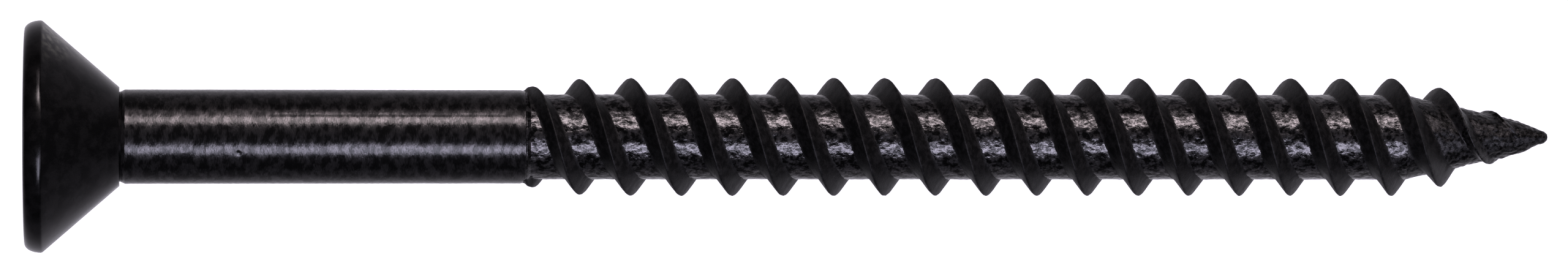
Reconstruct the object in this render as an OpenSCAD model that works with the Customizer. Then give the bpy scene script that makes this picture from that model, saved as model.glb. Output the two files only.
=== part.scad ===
/* [Overall] */
// Length from the head's flat face to the tip
overall_length = 63.5; // [50:0.5:76]

/* [Head] */
// Largest diameter, at the foot of the rim
head_d = 9.66; // [9.2:0.02:10.4]
// Diameter of the flat face inside its rounded edge
face_d = 8.9; // [8:0.1:9]
// Height of the rounded rim
rim_h = 0.72; // [0.5:0.02:1]
// Included angle of the countersunk cone
countersink_angle = 81.5; // [78:0.5:90]

/* [Cross recess, No. 2] */
// Distance across opposite wings at the face
recess_w = 5.2; // [4.6:0.1:5.4]
// Depth where the wings end
recess_depth = 2.7; // [2:0.1:2.9]
// Width of one wing
wing_w = 1.05; // [0.9:0.05:1.2]
// Angle that the wing ends make with the axis
wing_taper = 26.5; // [22:0.5:27]

/* [Plain shank] */
// Diameter under the head
shank_head_d = 3.93; // [3.9:0.01:4.1]
// Diameter where the thread starts
shank_thread_d = 3.88; // [3.7:0.01:3.9]
// Distance from the face to the shoulder
thread_from = 20.8; // [16:0.1:28]

/* [Thread] */
// Diameter over the crests
crest_d = 4.9; // [4.6:0.01:5]
// Diameter of the core between the ridges
core_d = 3.53; // [3.3:0.01:3.6]
// Distance from one crest to the next
crest_spacing = 2.115; // [1.8:0.005:2.4]
// Angle that each flank makes with a plane across the axis
flank_angle = 33; // [25:1:38]
// Width of the flat along a crest
crest_flat = 0.12; // [0.06:0.02:0.2]
// Length of the short, steep shoulder between shank and core
shoulder_len = 0.25; // [0.2:0.05:1]

/* [Gimlet point] */
// Length of the tapered point
point_len = 6; // [5:0.1:7]
// Diameter where the taper meets the nose
nose_d = 1.28; // [1:0.02:1.4]
// Length of the nose
nose_len = 1.2; // [0.8:0.1:1.6]
// Diameter of the blunt end
tip_d = 0.3; // [0.2:0.05:0.5]

/* [Hidden] */

$fn = 96;
starts = 2;               // ridges that start side by side, half a turn apart
steel = [0.09, 0.09, 0.1];
steps_per_turn = 40;      // rings of a ridge in one turn
sunk = 0.01;              // how far a ridge's foot sits inside the core
least_h = 0.02;           // height of a ridge at its two ends
start_h = 0.16;           // and above the shank, just past its first side
edge_h = 0.05;            // height of the narrow flat round the rim's widest part
recess_core_d = 2.3;      // round middle of the recess, at the face
recess_floor_d = 0.9;     // and at the bottom of the wings

head_r = head_d / 2;
core_r = core_d / 2;
crest_r = crest_d / 2;
lead = starts * crest_spacing;
cone_slope = tan(countersink_angle / 2);
head_h = rim_h + (head_r - shank_head_d / 2) / cone_slope;
core_from = thread_from + shoulder_len;
point_from = overall_length - point_len;
nose_from = overall_length - nose_len;
crest_taper_from = point_from + 0.6;
ridge_from = thread_from + 0.05;  // first and last place of a ridge's crest
ridge_to = nose_from - 0.05;
crest_at = thread_from + 2.28;    // the first full crest passes the +Y side here

// Outline of everything under the ridges, as distance along the axis and radius
body_outline = [
    [thread_from, shank_thread_d / 2],
    [thread_from + 0.05, shank_thread_d / 2],
    [core_from, core_r],
    [point_from, core_r],
    [point_from + 0.35 * (nose_from - point_from), core_r - 0.3],
    [nose_from, nose_d / 2],
    [overall_length, tip_d / 2],
];

// Radius of a ridge's crest: it rises from the shoulder and runs out on the point
crest_outline = [
    [ridge_from, shank_thread_d / 2 + least_h],
    [crest_at - crest_spacing + 0.14, shank_thread_d / 2 + start_h],
    [crest_at, crest_r - 0.05],
    [crest_at + crest_spacing, crest_r],
    [crest_taper_from, crest_r],
    [ridge_to, lookup(ridge_to, body_outline) + least_h],
];

function body_r(z) = lookup(z, body_outline);

// One ring of a ridge: two feet on the core and two crest corners
function ring(z, turn) =
    let (top = max(lookup(z, crest_outline), body_r(z) + least_h),
         half_flat = crest_flat / 2,
         half_foot = half_flat + (top - body_r(z)) * tan(flank_angle))
    [for (p = [[-half_foot, body_r(z - half_foot) - sunk], [-half_flat, top],
               [half_flat, top], [half_foot, body_r(z + half_foot) - sunk]])
        [p[1] * cos(turn), p[1] * sin(turn), z + p[0]]];

// A ridge wound round the axis, its crest passing angle `from_angle` at crest_at
module ridge(from_angle) {
    turns = (ridge_to - ridge_from) / lead;
    n = ceil(turns * steps_per_turn);
    function z_at(i) = ridge_from + i * (ridge_to - ridge_from) / n;
    function angle_at(i) = from_angle + 360 * (z_at(i) - crest_at) / lead;
    points = [for (i = [0:n]) each ring(z_at(i), angle_at(i))];
    sides = [for (i = [0:n - 1], k = [0:3])
        let (a = 4 * i + k, b = 4 * i + (k + 1) % 4)
        each [[a, a + 4, b], [b, a + 4, b + 4]]];
    ends = [[0, 1, 2], [0, 2, 3], [4 * n, 4 * n + 2, 4 * n + 1], [4 * n, 4 * n + 3, 4 * n + 2]];
    polyhedron(points = points, faces = concat(sides, ends), convexity = 10);
}

// Turns an outline given as [distance along the axis, radius] about the axis
module turned(outline) {
    rotate_extrude() polygon([for (p = outline) [p[1], p[0]]]);
}

// Lays the screw along +X, head at the origin
module laid() {
    rotate([0, 90, 0]) children();
}

// The cross-shaped hollow for a No. 2 driver
module cross_recess() {
    wing_end = recess_w / 2 - recess_depth * tan(wing_taper);
    floor_h = 0.45;
    above = 0.5;   // how far the cutter stands out of the face
    intersection() {
        union() {
            for (a = [0, 90]) rotate(a)
                translate([-recess_w, -wing_w / 2, -above])
                    cube([2 * recess_w, wing_w, above + recess_depth + floor_h]);
            translate([0, 0, -above])
                cylinder(h = above + recess_depth, d1 = recess_core_d + 0.25, d2 = recess_floor_d);
        }
        union() {
            translate([0, 0, -above])
                cylinder(h = above + recess_depth,
                         r1 = recess_w / 2 + above * tan(wing_taper), r2 = wing_end);
            translate([0, 0, recess_depth]) cylinder(h = floor_h, r1 = wing_end, r2 = 0.15);
        }
    }
}

// Flat face, rounded rim and countersunk cone, with the recess
module head() {
    face_r = face_d / 2;
    curve_h = rim_h - edge_h;
    rim = [for (a = [0:15:90]) [curve_h * (1 - cos(a)), face_r + (head_r - face_r) * sin(a)]];
    color(steel) laid() difference() {
        turned(concat([[0, 0]], rim, [[rim_h, head_r - 0.02], [head_h, shank_head_d / 2], [head_h, 0]]));
        cross_recess();
    }
}

// Smooth, slightly tapered part between head and thread
module plain_shank() {
    color(steel) laid() turned([[head_h, 0], [head_h, shank_head_d / 2],
                                [thread_from, shank_thread_d / 2], [thread_from, 0]]);
}

// The short step from shank down to core, where both ridges start
module thread_shoulder() {
    color(steel) laid()
        turned(concat([[thread_from, 0]], [for (i = [0:2]) body_outline[i]], [[core_from, 0]]));
}

// The round core between the ridges
module threaded_core() {
    color(steel) laid()
        turned([[core_from, 0], [core_from, core_r], [point_from, core_r], [point_from, 0]]);
}

// First of the two side-by-side ridges
module thread_ridge_a() {
    color(steel) laid() ridge(90);
}

// Second ridge, half a turn round from the first
module thread_ridge_b() {
    color(steel) laid() ridge(270);
}

// The tapered point and its short blunt nose
module gimlet_point() {
    color(steel) laid()
        turned(concat([[point_from, 0]], [for (i = [3:6]) body_outline[i]], [[overall_length, 0]]));
}

head();
plain_shank();
thread_shoulder();
threaded_core();
thread_ridge_a();
thread_ridge_b();
gimlet_point();
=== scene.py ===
import math

import bmesh
import bpy
import numpy as np
from mathutils import Matrix, Vector, noise


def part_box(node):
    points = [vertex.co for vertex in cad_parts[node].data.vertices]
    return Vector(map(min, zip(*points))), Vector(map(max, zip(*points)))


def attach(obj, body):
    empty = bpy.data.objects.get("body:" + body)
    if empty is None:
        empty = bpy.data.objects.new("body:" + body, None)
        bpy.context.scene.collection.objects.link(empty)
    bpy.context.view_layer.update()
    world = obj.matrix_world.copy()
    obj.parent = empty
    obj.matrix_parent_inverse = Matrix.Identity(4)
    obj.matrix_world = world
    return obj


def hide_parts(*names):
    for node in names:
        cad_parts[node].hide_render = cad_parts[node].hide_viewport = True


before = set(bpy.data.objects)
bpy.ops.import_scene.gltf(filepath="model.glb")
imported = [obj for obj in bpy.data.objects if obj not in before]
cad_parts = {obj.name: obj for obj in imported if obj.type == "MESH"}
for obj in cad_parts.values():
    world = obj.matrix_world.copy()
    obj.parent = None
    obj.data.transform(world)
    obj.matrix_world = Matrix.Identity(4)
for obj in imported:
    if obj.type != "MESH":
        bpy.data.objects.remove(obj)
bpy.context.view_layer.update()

# A black wood screw lies on a pale table and is seen from above. The screw runs along +X, with the
# middle of its head's face at the origin. Lengths are in millimetres until a mesh, light or camera
# is made. An angle round the screw is in radians, from +Y towards +Z.

MM = 0.001


def reach(node):
    """Where a CAD node starts and ends along the screw, and its largest radius."""
    low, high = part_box(node)
    return low.x / MM, high.x / MM, max(high.y, high.z) / MM


_, HEAD_TO, HEAD_R = reach("head")
_, THREAD_FROM, SHANK_R = reach("plain_shank")
CORE_FROM, POINT_FROM, CORE_R = reach("threaded_core")
CREST_R = reach("thread_ridge_a")[2]
TIP = reach("gimlet_point")[1]

# ---- Outlines -----------------------------------------------------------------------------------

CREST_SPACING = 2.1185
LEAD = 2 * CREST_SPACING
CREST_AT = THREAD_FROM + 2.26         # ridge A's crest passes the +Y side here
RIDGE_FROM = THREAD_FROM - 0.1
RIDGE_TO = TIP - 0.9

LINE_AT = 7.45            # a fine turned line crosses the shank here

# The screw without its ridges: (distance from the face, radius, radius of the corner's rounding)
BODY = [
    (HEAD_TO - 0.03, SHANK_R - 0.07, 0),
    (HEAD_TO + 0.12, SHANK_R, 0.08),
    (LINE_AT, SHANK_R - 0.005, 0),
    (THREAD_FROM - 0.22, SHANK_R - 0.02, 0.1),
    (THREAD_FROM, SHANK_R - 0.06, 0.01),
    (THREAD_FROM + 0.03, SHANK_R - 0.085, 0.01),
    (THREAD_FROM + 0.06, SHANK_R - 0.075, 0.02),
    (CORE_FROM - 0.04, CORE_R, 0.05),
    (POINT_FROM, CORE_R, 1),
    (POINT_FROM + 3, CORE_R - 0.69, 2),
    (TIP - 1.3, 0.7, 1),
    (TIP - 0.35, 0.3, 0.2),
    (TIP - 0.15, 0.235, 0.1),
    (TIP - 0.03, 0.13, 0.04),
    (TIP, 0.02, 0),
]

# How high the ridges' crests stand: (distance from the face, radius)
CRESTS = [
    (RIDGE_FROM, SHANK_R - 0.35),
    (THREAD_FROM + 0.05, SHANK_R - 0.03),
    (THREAD_FROM + 0.25, SHANK_R + 0.13),
    (THREAD_FROM + 0.55, SHANK_R + 0.23),
    (THREAD_FROM + 1.2, SHANK_R + 0.34),
    (CREST_AT, CREST_R - 0.04),
    (CREST_AT + CREST_SPACING, CREST_R),
    (POINT_FROM + 0.7, CREST_R),
    (TIP - 2.4, 1.12),
    (TIP - 1.5, 0.74),
    (RIDGE_TO, 0.2),
]

# The head from its face to the shank: a rounded rim, then the cone and a narrow groove behind it
RIM_TO = 0.72
ROUND_ALONG = 0.68        # the rim's rounding is almost a quarter of an ellipse, with these
ROUND_ACROSS = 0.38       # half axes along the screw and across it
FACE_R = HEAD_R - 0.42    # last ring on the flat face, just inside the rounding
CONE_TO = 3.93
CONE_SLOPE = 0.8617       # loss of radius for each mm along the cone
RIM = [(ROUND_ALONG * (1 - math.cos(a)), HEAD_R - ROUND_ACROSS * (1 - math.sin(a)), 0)
       for a in np.radians(range(0, 81, 10))]
RIM += [
    (RIM_TO, HEAD_R + 0.003, 0.25),
    (CONE_TO, HEAD_R - CONE_SLOPE * (CONE_TO - RIM_TO), 0),
    (CONE_TO - 0.02, SHANK_R - 0.1, 0),
    (HEAD_TO, SHANK_R - 0.07, 0),
]


def rounded(corners, step):
    """Points about step apart along the line through corners, with its corners rounded."""
    places = [np.array(c[:2], float) for c in corners]
    line = [places[0]]
    for before, corner, after, (_, _, radius) in zip(places, places[1:], places[2:], corners[1:]):
        way_in = (corner - before) / np.linalg.norm(corner - before)
        way_out = (after - corner) / np.linalg.norm(after - corner)
        turn = math.acos(max(-1, min(1, float(way_in @ way_out))))
        cut = radius * math.tan(turn / 2)
        cut = min(cut, 0.45 * np.linalg.norm(corner - before), 0.45 * np.linalg.norm(after - corner))
        for t in np.linspace(0, 1, 7):
            line.append((1 - t) ** 2 * (corner - cut * way_in) + 2 * t * (1 - t) * corner
                        + t ** 2 * (corner + cut * way_out))
    line.append(places[-1])
    points = [line[0]]
    for place in line[1:]:
        gap = np.linalg.norm(place - points[-1])
        if gap < 1e-6:
            continue
        pieces = max(1, math.ceil(gap / step))
        start = points[-1]
        points += [start + (place - start) * k / pieces for k in range(1, pieces + 1)]
    return np.array(points)


def part_of(outline, start, end):
    """The stretch of an outline from start to end along the screw."""
    inside = outline[(outline[:, 0] > start + 1e-4) & (outline[:, 0] < end - 1e-4)]
    ends = [(x, np.interp(x, outline[:, 0], outline[:, 1])) for x in (start, end)]
    return np.concatenate([ends[:1], inside, ends[1:]])


# ---- Relief: the small bumps and hollows of the surface ------------------------------------------

def bumps(points, size, seed):
    """Smooth noise from -1 to 1 at each point, with bumps about size across."""
    shift = Vector((17.3 * seed, 5.9 * seed, 11.1 * seed))
    scaled = (points / size).reshape(-1, 3)
    values = [noise.noise(Vector(p) + shift) for p in scaled]
    return np.array(values).reshape(points.shape[:-1])


def fade(x, start, end):
    """0 before start and 1 after end, with a smooth step between."""
    t = np.clip((x - start) / (end - start), 0, 1)
    return t * t * (3 - 2 * t)


def shank_marks(points):
    """Depth of the shank's larger marks: a turned line, a long scratch and a pit."""
    x = points[..., 0]
    angle = np.degrees(np.arctan2(points[..., 2], points[..., 1]))
    line = 0.012 * np.exp(-((x - LINE_AT) / 0.03) ** 2) * fade(angle, 30, 55) * fade(-angle, -125, -105)
    scratch = 0.007 * np.exp(-((angle - 62) / 1.3) ** 2) * fade(x, 10, 10.5) * fade(-x, -20.4, -19.5)
    pit = 0.03 * np.exp(-((x - 8.9) / 0.08) ** 2 - ((angle - 110.5) / 2.5) ** 2)
    return line + scratch + pit


def body_relief(points):
    """How far the surface of the shank, core or point stands out at each point."""
    x = points[..., 0]
    threaded = fade(x, THREAD_FROM, CORE_FROM)
    pinched = fade(x, POINT_FROM, POINT_FROM + 1.5)
    drawn = 0.006 * bumps(points, np.array([0.12, 0.4, 0.4]), 1) + 0.004 * bumps(points, 1.2, 2)
    rolled = 0.016 * bumps(points, 0.42, 3) + 0.014 * bumps(points, 0.18, 4)
    torn = 0.05 * bumps(points, 0.55, 5) + 0.03 * bumps(points, 0.2, 6)
    smooth = (drawn - shank_marks(points)) * (1 - threaded)
    return smooth + rolled * threaded + torn * pinched * fade(TIP - x, 0, 1)


# ---- Meshes -------------------------------------------------------------------------------------

SHARP_FROM = math.radians(50)  # an edge that turns by more than this looks sharp


def solid(name, rings, material):
    """A closed solid through rings of points in mm, with each end filled in."""
    count, around, _ = rings.shape
    ends = [rings[0].mean(axis=0), rings[-1].mean(axis=0)]
    points = np.concatenate([rings.reshape(-1, 3), ends]) * MM
    row = np.arange(count - 1)[:, None] * around
    here = np.arange(around)
    after = (here + 1) % around
    sides = np.stack([row + here, row + after, row + around + after, row + around + here], axis=-1)
    first, last = count * around, count * around + 1
    base = (count - 1) * around
    caps = [(first, b, a) for a, b in zip(here, after)]
    caps += [(last, base + a, base + b) for a, b in zip(here, after)]
    mesh = bpy.data.meshes.new(name)
    faces = sides.reshape(-1, 4).tolist() + [tuple(int(i) for i in c) for c in caps]
    mesh.from_pydata(points.tolist(), [], faces)
    work = bmesh.new()
    work.from_mesh(mesh)
    bmesh.ops.recalc_face_normals(work, faces=work.faces)
    work.to_mesh(mesh)
    work.free()
    mesh.shade_smooth()
    mesh.set_sharp_from_angle(angle=SHARP_FROM)
    mesh.materials.append(material)
    piece = bpy.data.objects.new(name, mesh)
    bpy.context.scene.collection.objects.link(piece)
    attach(piece, "root")
    return piece


def round_rings(outline, count):
    """A ring of count points round the screw for each point of an outline."""
    angle = np.linspace(0, 2 * math.pi, count, endpoint=False)
    x = np.repeat(outline[:, :1], count, axis=1)
    radius = outline[:, 1:]
    return np.stack([x, radius * np.cos(angle), radius * np.sin(angle)], axis=-1)


def pushed_out(rings, height):
    """Rings with each point moved away from the axis by its height."""
    radius = np.hypot(rings[..., 1], rings[..., 2])
    growth = 1 + height / np.maximum(radius, 0.05)
    return rings * np.stack([np.ones_like(growth), growth, growth], axis=-1)


def make_body(name, node, start, end, step, around, material):
    """The stretch of the screw under the ridges from start to end, in rings of around points."""
    outline = part_of(rounded(BODY, step), start, end)
    rings = round_rings(outline, around)
    piece = solid(name, pushed_out(rings, body_relief(rings)), material)
    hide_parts(node)


# ---- Head ---------------------------------------------------------------------------------------

RECESS_REACH = 2.6        # from the axis to a wing's end, at the face
RECESS_DEPTH = 2.7        # where the wings end
RECESS_FLOOR = 3.15       # deepest place
WING_TAPER = math.radians(26.5)
WING_HALF = 0.525         # half a wing's width
RECESS_ROUND = 1.15       # radius of the round between the wings
LIP = 0.09                # rounding where the recess meets the face
HEAD_AROUND = 256         # points in a ring round the head, as many as the cross's outline has


def cross_outline(length, half, middle):
    """Outline of the cross as complex numbers, with wings of that length and half width."""
    middle = max(middle, 1.45 * half)
    end = math.asin(half / length)
    inner = math.asin(half / middle)
    tip = length * np.exp(1j * np.linspace(0, end, 8, endpoint=False))
    wall = np.linspace(length * math.cos(end), middle * math.cos(inner), 14, endpoint=False) + 1j * half
    arc = middle * np.exp(1j * np.linspace(inner, math.pi / 4, 11))
    eighth = np.concatenate([tip, wall, arc])
    mirrored = 1j * np.conj(eighth[::-1])
    quarter = np.concatenate([eighth[:-1], mirrored[:-1]])
    outline = np.concatenate([quarter * 1j ** k for k in range(4)])
    for _ in range(3):
        outline = (np.roll(outline, 1) + 2 * outline + np.roll(outline, -1)) / 4
    return outline


def cross_at(depth):
    """Outline of the recess's wall at a depth, wider inside the rounded lip."""
    flare = 0
    if depth < LIP:
        flare = LIP - math.sqrt(LIP ** 2 - (LIP - depth) ** 2)
    length = RECESS_REACH - depth * math.tan(WING_TAPER) + flare
    return cross_outline(length, WING_HALF - 0.03 * depth + flare, RECESS_ROUND - 0.26 * depth + flare)


def recess_rings():
    """Rings from the middle of the recess's floor up its walls to the face."""
    floor = cross_at(RECESS_DEPTH)
    rings = []
    for part in np.linspace(0.04, 0.97, 7):
        depth = RECESS_FLOOR + (RECESS_DEPTH - RECESS_FLOOR) * part ** 1.5
        rings.append((depth, floor * part))
    rings += [(depth, cross_at(depth)) for depth in np.linspace(RECESS_DEPTH, LIP, 22)]
    rings += [(LIP * (1 - math.sin(a)), cross_at(LIP * (1 - math.sin(a))))
              for a in np.radians([15, 30, 45, 60, 75, 89])]
    return rings


def face_rings():
    """Flat rings from the recess's lip out to the rounded edge of the face."""
    cross = cross_at(0)
    circle = FACE_R * np.exp(2j * math.pi * np.arange(HEAD_AROUND) / HEAD_AROUND)
    return [(0, cross * (1 - t) + circle * t) for t in np.linspace(0.02, 1, 16)]


def make_head(material):
    """Flat face with a cross recess, rounded rim and countersunk cone, made as one skin."""
    inner = [np.stack([np.full(HEAD_AROUND, depth), ring.real, ring.imag], axis=-1)
             for depth, ring in recess_rings() + face_rings()]
    outer = round_rings(rounded(RIM, 0.07), HEAD_AROUND)
    outside = fade(outer[..., 0], 0, 0.1) * fade(HEAD_TO - outer[..., 0], 0, 0.3)
    forged = 0.003 * bumps(outer, 0.8, 11) + 0.0015 * bumps(outer, 0.3, 12)
    outer = pushed_out(outer, forged * outside)
    rings = np.concatenate([np.array(inner), outer])
    piece = solid("forged_head", rings, material)
    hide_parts("head")


# ---- Ridges -------------------------------------------------------------------------------------

STEPS_PER_TURN = 120
FLANK_SLOPE = 1.54        # rise of a flank for each mm along the screw
CREST_ROUND = 0.056       # half width of the rounded crest
FOOT_ROUND = 0.08         # size of the hollow where a flank meets the core
FOOT_SUNK = 0.014         # how deep a ridge's edge lies under the core's surface
START_LAG = 0.1           # how far the ridges' starts lie beyond a true helix
RIDGE_POINTS = 33         # points across a ridge's outside
RIDGE_MARGIN = 0.3        # how far the mesh reaches past the flanks, over the core
UNDERSIDE = 0.08          # how deep a ridge's closed underside lies inside the core
POINT_FINISH_FROM = POINT_FROM + 2.2  # the ridges have the point's finish from about here
RAGGED = 0.5              # how far the edge between the finishes wanders


def ridge_height(across, full):
    """Height of a ridge above the core, at a distance across it from the crest."""
    flank = full - FLANK_SLOPE * (np.sqrt(across ** 2 + CREST_ROUND ** 2) - CREST_ROUND)
    return (flank + np.sqrt(flank ** 2 + FOOT_ROUND ** 2)) / 2


def ridge_rings(start_angle):
    """Rings across a ridge wound round the core. Its crest is at start_angle where x is CREST_AT."""
    steps = int((RIDGE_TO - RIDGE_FROM) / LEAD * STEPS_PER_TURN)
    crest_x = np.linspace(RIDGE_FROM, RIDGE_TO, steps + 1)[:, None]
    angle = start_angle + 2 * math.pi * (crest_x - CREST_AT) / LEAD
    crest_x = crest_x + START_LAG * (1 - fade(crest_x, THREAD_FROM + 0.2, CREST_AT))
    outline = rounded(BODY, 0.05)
    under = np.interp(crest_x, outline[:, 0], outline[:, 1])
    top = np.interp(crest_x, *zip(*CRESTS))
    middle = np.concatenate([crest_x, under * np.cos(angle), under * np.sin(angle)], axis=-1)
    worn = 0.02 * bumps(middle, 0.9, 21) + 0.016 * bumps(middle, 0.25, 23)
    full = top - under + FOOT_SUNK + worn[:, None] * (top > under + 0.3)
    half = CREST_ROUND + np.maximum(full, 0) / FLANK_SLOPE + RIDGE_MARGIN
    share = np.linspace(-1, 1, RIDGE_POINTS)
    across = half * share * (0.55 + 0.45 * share ** 2)  # closer together at the crest
    x = crest_x + across
    radius = np.interp(x, outline[:, 0], outline[:, 1]) + ridge_height(across, full) - FOOT_SUNK
    place = np.stack([x, radius * np.cos(angle), radius * np.sin(angle)], axis=-1)
    # The core's relief is weaker up on the flanks
    on_core = fade(-radius, -under - 0.25, -under - 0.02)
    radius = radius + body_relief(place) * (0.3 + 0.7 * on_core) + 0.006 * bumps(place, 0.22, 22)
    inside = np.interp(x[:, [-1, 0]], outline[:, 0], outline[:, 1]) - UNDERSIDE
    x = np.concatenate([x, x[:, [-1, 0]]], axis=1)
    radius = np.concatenate([radius, np.maximum(inside, 0.1)], axis=1)
    return np.stack([x, radius * np.cos(angle), radius * np.sin(angle)], axis=-1)


def make_ridge(name, node, start_angle, thread_finish, point_finish):
    """One of the two ridges, whose last stretch has the point's finish."""
    piece = solid(name, ridge_rings(start_angle), thread_finish)
    piece.data.materials.append(point_finish)
    for face in piece.data.polygons:
        wander = RAGGED * noise.noise(face.center / MM / 0.25)
        face.material_index = face.center.x / MM + wander > POINT_FINISH_FROM
    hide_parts(node)


# ---- Materials ----------------------------------------------------------------------------------

# Pale colour laid in patches near the cone's edge on its +Y side
PALE_PATCH_COLOUR = (0.2, 0.2, 0.17, 1)
TABLE_GLOW = 1.15         # glow that the camera sees, and the peak of the painted pool of light that the screw reflects at its axis
GLOW_REACH = 6            # distance from the axis over which the painted pool of light falls to 1/e
FAR_GLOW = 0.03           # painted glow left far from the axis, seen in reflections


def shader_node(tree, kind, inputs=(), **settings):
    """A new shader node with its settings, and its inputs set or linked."""
    made = tree.nodes.new(kind)
    for key, value in settings.items():
        setattr(made, key, value)
    for key, value in dict(inputs).items():
        if isinstance(value, bpy.types.NodeSocket):
            tree.links.new(value, made.inputs[key])
        else:
            made.inputs[key].default_value = value
    return made


def grain(tree, size, detail=2.0):
    """Noise from 0 to 1 whose grains are size mm across along X, Y and Z."""
    place = shader_node(tree, "ShaderNodeTexCoord").outputs["Object"]
    scale = [1 / (MM * s) for s in size]
    spread = shader_node(tree, "ShaderNodeMapping", {"Vector": place, "Scale": scale})
    return shader_node(tree, "ShaderNodeTexNoise", {
        "Vector": spread.outputs["Vector"], "Scale": 1.0, "Detail": detail, "Roughness": 0.55,
    }).outputs["Fac"]


def between(tree, value, low, high, dark, light):
    """Value from low..high spread over dark..light."""
    return shader_node(tree, "ShaderNodeMapRange", {
        "Value": value, "From Min": low, "From Max": high, "To Min": dark, "To Max": light,
    }, interpolation_type="SMOOTHSTEP").outputs["Result"]


def math_node(tree, operation, first, second=0.0):
    """The result of one sum on two values or sockets."""
    return shader_node(tree, "ShaderNodeMath", {0: first, 1: second}, operation=operation).outputs[0]


def pale_patched(tree, colour):
    """The colour, paler in patches on the cone's +Y side."""
    place = shader_node(tree, "ShaderNodeTexCoord").outputs["Object"]
    part = shader_node(tree, "ShaderNodeSeparateXYZ", {"Vector": place}).outputs
    edge = math_node(tree, "MULTIPLY", between(tree, part["Y"], 2.8 * MM, 4.4 * MM, 0, 1),
                     between(tree, part["X"], (RIM_TO + 0.02) * MM, (RIM_TO + 0.13) * MM, 0, 1))
    patches = between(tree, grain(tree, (0.35, 0.35, 0.35), 6.0), 0.4, 0.7, 0, 0.9)
    return shader_node(tree, "ShaderNodeMix", {
        "Factor": math_node(tree, "MULTIPLY", edge, patches),
        "A": colour,
        "B": PALE_PATCH_COLOUR,
    }, data_type="RGBA").outputs[2]


def black_finish(name, fine, coarse, depth, roughness, tones, with_pale_patches=False):
    """Black finish on steel. fine and coarse are grain sizes in mm, and depth their relief."""
    material = bpy.data.materials.new(name)
    material.use_nodes = True
    tree = material.node_tree
    tree.nodes.clear()
    fine_grain = grain(tree, fine, 3.0)
    coarse_grain = grain(tree, coarse)
    mottle = math_node(tree, "ADD", between(tree, fine_grain, 0.3, 0.7, 0, 0.7),
                       between(tree, coarse_grain, 0.35, 0.65, -0.5, 0.5))
    tone = shader_node(tree, "ShaderNodeMix", {
        "Factor": mottle,
        "A": (tones[0], tones[0], tones[0] * 1.03, 1),
        "B": (tones[1], tones[1] * 0.97, tones[1], 1),
    }, data_type="RGBA").outputs[2]
    low_bump = shader_node(tree, "ShaderNodeBump", {
        "Height": coarse_grain, "Strength": 1.0, "Distance": depth[1] * MM,
    })
    high_bump = shader_node(tree, "ShaderNodeBump", {
        "Height": fine_grain, "Strength": 1.0, "Distance": depth[0] * MM,
        "Normal": low_bump.outputs["Normal"],
    })
    steel = shader_node(tree, "ShaderNodeBsdfPrincipled", {
        "Base Color": pale_patched(tree, tone) if with_pale_patches else tone,
        "Metallic": 0.8,
        "Roughness": between(tree, coarse_grain, 0.3, 0.7, roughness[0], roughness[1]),
        "Normal": high_bump.outputs["Normal"],
    })
    shader_node(tree, "ShaderNodeOutputMaterial", {"Surface": steel.outputs["BSDF"]})
    return material


def paper_with_painted_glow():
    """White table top that glows evenly where the camera sees it. For reflections its glow is a painted
    pool of light, brightest close to the screw's axis.
    """
    material = bpy.data.materials.new("table_top")
    material.use_nodes = True
    tree = material.node_tree
    tree.nodes.clear()
    grade = between(tree, grain(tree, (40, 40, 40)), 0.2, 0.8, 0.1, 0.13)
    paper = shader_node(tree, "ShaderNodeBsdfDiffuse", {"Color": grade})
    place = shader_node(tree, "ShaderNodeTexCoord").outputs["Object"]
    across = shader_node(tree, "ShaderNodeSeparateXYZ", {"Vector": place}).outputs["Y"]
    # Painted pool of light: the glow seen in reflections falls off with distance from the screw's axis
    aside = math_node(tree, "DIVIDE", math_node(tree, "ABSOLUTE", across), -GLOW_REACH * MM)
    painted_pool = math_node(tree, "MULTIPLY", math_node(tree, "EXPONENT", aside), TABLE_GLOW)
    seen = shader_node(tree, "ShaderNodeLightPath").outputs["Is Camera Ray"]
    camera_glow = math_node(tree, "MULTIPLY", seen, TABLE_GLOW)
    glow = shader_node(tree, "ShaderNodeEmission", {
        "Color": (0.94, 0.9, 1, 1),
        "Strength": math_node(tree, "MAXIMUM", camera_glow, math_node(tree, "ADD", painted_pool, FAR_GLOW)),
    })
    both = shader_node(tree, "ShaderNodeAddShader", {0: paper.outputs[0], 1: glow.outputs[0]})
    shader_node(tree, "ShaderNodeOutputMaterial", {"Surface": both.outputs[0]})
    return material


# ---- Studio -------------------------------------------------------------------------------------

TABLE_HALF = 3000         # half the table's width


def make_table():
    """A table top that touches the head's rim and the thread's crests."""
    first = Vector((0.8, 0, -HEAD_R)) * MM
    second = Vector((POINT_FROM + 0.5, 0, -CREST_R)) * MM
    slope = (second - first).normalized()
    corners = [first + TABLE_HALF * MM * (slope * a + Vector((0, b, 0)))
               for a, b in ((-1, -1), (1, -1), (1, 1), (-1, 1))]
    mesh = bpy.data.meshes.new("table")
    mesh.from_pydata(corners, [], [(0, 1, 2, 3)])
    mesh.materials.append(paper_with_painted_glow())
    table = bpy.data.objects.new("table", mesh)
    bpy.context.scene.collection.objects.link(table)


def facing(place, target, up):
    """A matrix at place that looks at target, with up as near the top as it goes."""
    back = (place - target).normalized()
    right = up.cross(back).normalized()
    turned = Matrix((right, back.cross(right), back)).transposed().to_4x4()
    return Matrix.Translation(place) @ turned


LIGHT_FAR = 250           # from the screw's axis to a strip light
BESIDE = (-25, 115)       # a strip light's ends, along the screw
BEYOND = (125, 420)       # and those of one beyond the tip


def strip_light(name, ends, angle, spread, radiance, colour):
    """A long soft light at an angle from overhead towards +Y. Spread is its width as an angle."""
    lean, width = math.radians(angle), 2 * LIGHT_FAR * math.tan(math.radians(spread) / 2)
    data = bpy.data.lights.new(name, "AREA")
    data.shape = "RECTANGLE"
    data.size, data.size_y = (ends[1] - ends[0]) * MM, width * MM
    data.energy = radiance * math.pi * data.size * data.size_y
    data.color = colour
    light = bpy.data.objects.new(name, data)
    target = Vector((sum(ends) / 2, 0, 0)) * MM
    place = target + Vector((0, math.sin(lean), math.cos(lean))) * LIGHT_FAR * MM
    light.matrix_world = facing(place, target, Vector((0, math.cos(lean), -math.sin(lean))))
    light.visible_camera = False
    bpy.context.scene.collection.objects.link(light)


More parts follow.
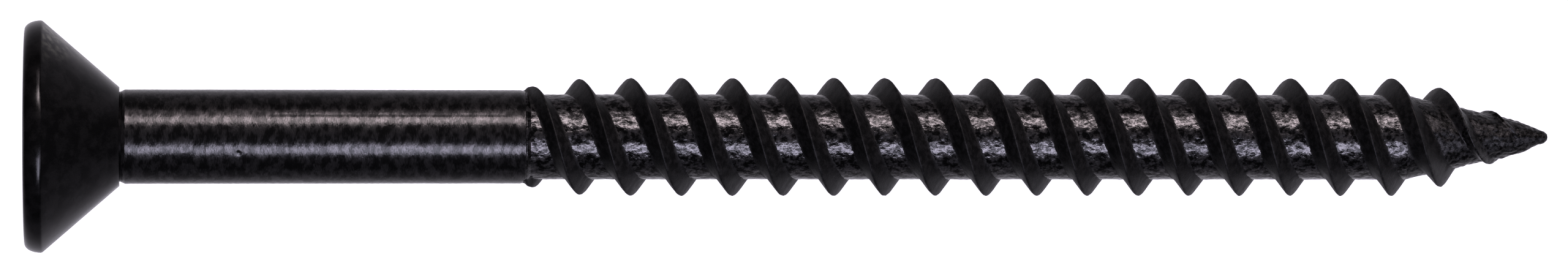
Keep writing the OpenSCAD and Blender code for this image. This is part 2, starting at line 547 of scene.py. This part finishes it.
def make_lights():
    """Warm strips over the +Y side, a cool strip over the -Y side, and fill beyond the tip."""
    warm, cool = (1.0, 0.87, 0.9), (0.83, 0.81, 1.0)
    strip_light("warm_strip", BESIDE, 42, 15, 13.5, warm)
    strip_light("warm_edge", BESIDE, 60, 14, 1.6, warm)
    strip_light("cool_strip", BESIDE, -32, 19, 10.5, cool)
    strip_light("warm_fill", BEYOND, 42, 15, 4, warm)
    strip_light("cool_fill", BEYOND, -32, 19, 4, cool)


def make_world():
    """White where the camera sees it, and nearly dark for reflections."""
    world = bpy.data.worlds.new("studio")
    bpy.context.scene.world = world
    world.use_nodes = True
    tree = world.node_tree
    tree.nodes.clear()
    seen = shader_node(tree, "ShaderNodeLightPath").outputs["Is Camera Ray"]
    strength = shader_node(tree, "ShaderNodeMapRange", {"Value": seen, "To Min": 0.015, "To Max": 1.2})
    back = shader_node(tree, "ShaderNodeBackground", {
        "Color": (1, 1, 1, 1), "Strength": strength.outputs["Result"],
    })
    shader_node(tree, "ShaderNodeOutputWorld", {"Surface": back.outputs[0]})


def make_camera():
    """Looks almost straight down, from over the head's side of the shank."""
    data = bpy.data.cameras.new("camera")
    data.sensor_width = 36
    view_width = 65.32
    centre = Vector((31.58, -0.023, 0))
    place = Vector((11, -0.023, 490))
    data.lens = data.sensor_width * (place - centre).length / view_width
    camera = bpy.data.objects.new("camera", data)
    camera.matrix_world = facing(place * MM, centre * MM, Vector((-0.0005, 1, 0)))
    bpy.context.scene.collection.objects.link(camera)
    bpy.context.scene.camera = camera
    bpy.context.scene.view_settings.view_transform = "Standard"


# ---- Everything ---------------------------------------------------------------------------------

drawn = black_finish("black_drawn", fine=(0.035, 0.16, 0.16), coarse=(0.3, 0.5, 0.5),
                     depth=(0.008, 0.004), roughness=(0.17, 0.24), tones=(0.014, 0.051))
rolled = black_finish("black_rolled", fine=(0.09, 0.09, 0.09), coarse=(0.28, 0.24, 0.24),
                      depth=(0.007, 0.026), roughness=(0.17, 0.26), tones=(0.008, 0.08))
torn = black_finish("black_torn", fine=(0.045, 0.045, 0.045), coarse=(0.16, 0.16, 0.16),
                    depth=(0.009, 0.02), roughness=(0.26, 0.5), tones=(0.002, 0.034))
crest = black_finish("black_crest", fine=(0.06, 0.06, 0.06), coarse=(0.25, 0.25, 0.25),
                     depth=(0.006, 0.01), roughness=(0.5, 0.6), tones=(0.008, 0.022))
forged = black_finish("black_forged", fine=(0.06, 0.06, 0.06), coarse=(0.6, 0.6, 0.6),
                      depth=(0.0015, 0.002), roughness=(0.16, 0.22), tones=(0.012, 0.024), with_pale_patches=True)

make_head(forged)
make_body("drawn_shank", "plain_shank", HEAD_TO - 0.03, THREAD_FROM, 0.05, 240, drawn)
make_body("rolled_shoulder", "thread_shoulder", THREAD_FROM, CORE_FROM, 0.03, 240, rolled)
make_body("rolled_core", "threaded_core", CORE_FROM, POINT_FROM, 0.065, 168, rolled)
make_body("gimlet_tip", "gimlet_point", POINT_FROM, TIP, 0.04, 168, torn)
make_ridge("ridge_a", "thread_ridge_a", 0, crest, torn)
make_ridge("ridge_b", "thread_ridge_b", math.pi, crest, torn)

make_table()
make_lights()
make_world()
make_camera()
